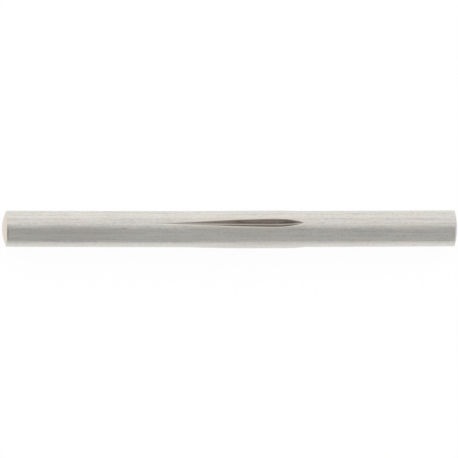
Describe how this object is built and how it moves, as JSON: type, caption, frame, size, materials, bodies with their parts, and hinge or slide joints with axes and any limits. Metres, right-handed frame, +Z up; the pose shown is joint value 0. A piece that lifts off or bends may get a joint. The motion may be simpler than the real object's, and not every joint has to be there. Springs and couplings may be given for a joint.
{
  "type": "grooved pin",
  "caption": "Straight steel pin with crowned ends and swaged grooves in its middle third that wedge it in a drilled hole.",
  "frame": {"origin": "on the pin's axis at the middle of its length, inside the grooved stretch", "axes": "+X along the pin towards the blunt ends of the grooves, +Z up as the pin lies, with the first groove turned 17 degrees from +Z towards +Y, +Y to the left when looking along +X with +Z up"},
  "size_m": [0.05, 0.0041, 0.0041],
  "materials": {
    "steel": "plain drawn steel, satin along its length, browner in the pressed grooves and turned on the crowns"
  },
  "bodies": {
    "root": {"pin": "steel"}
  },
  "joints": []
}
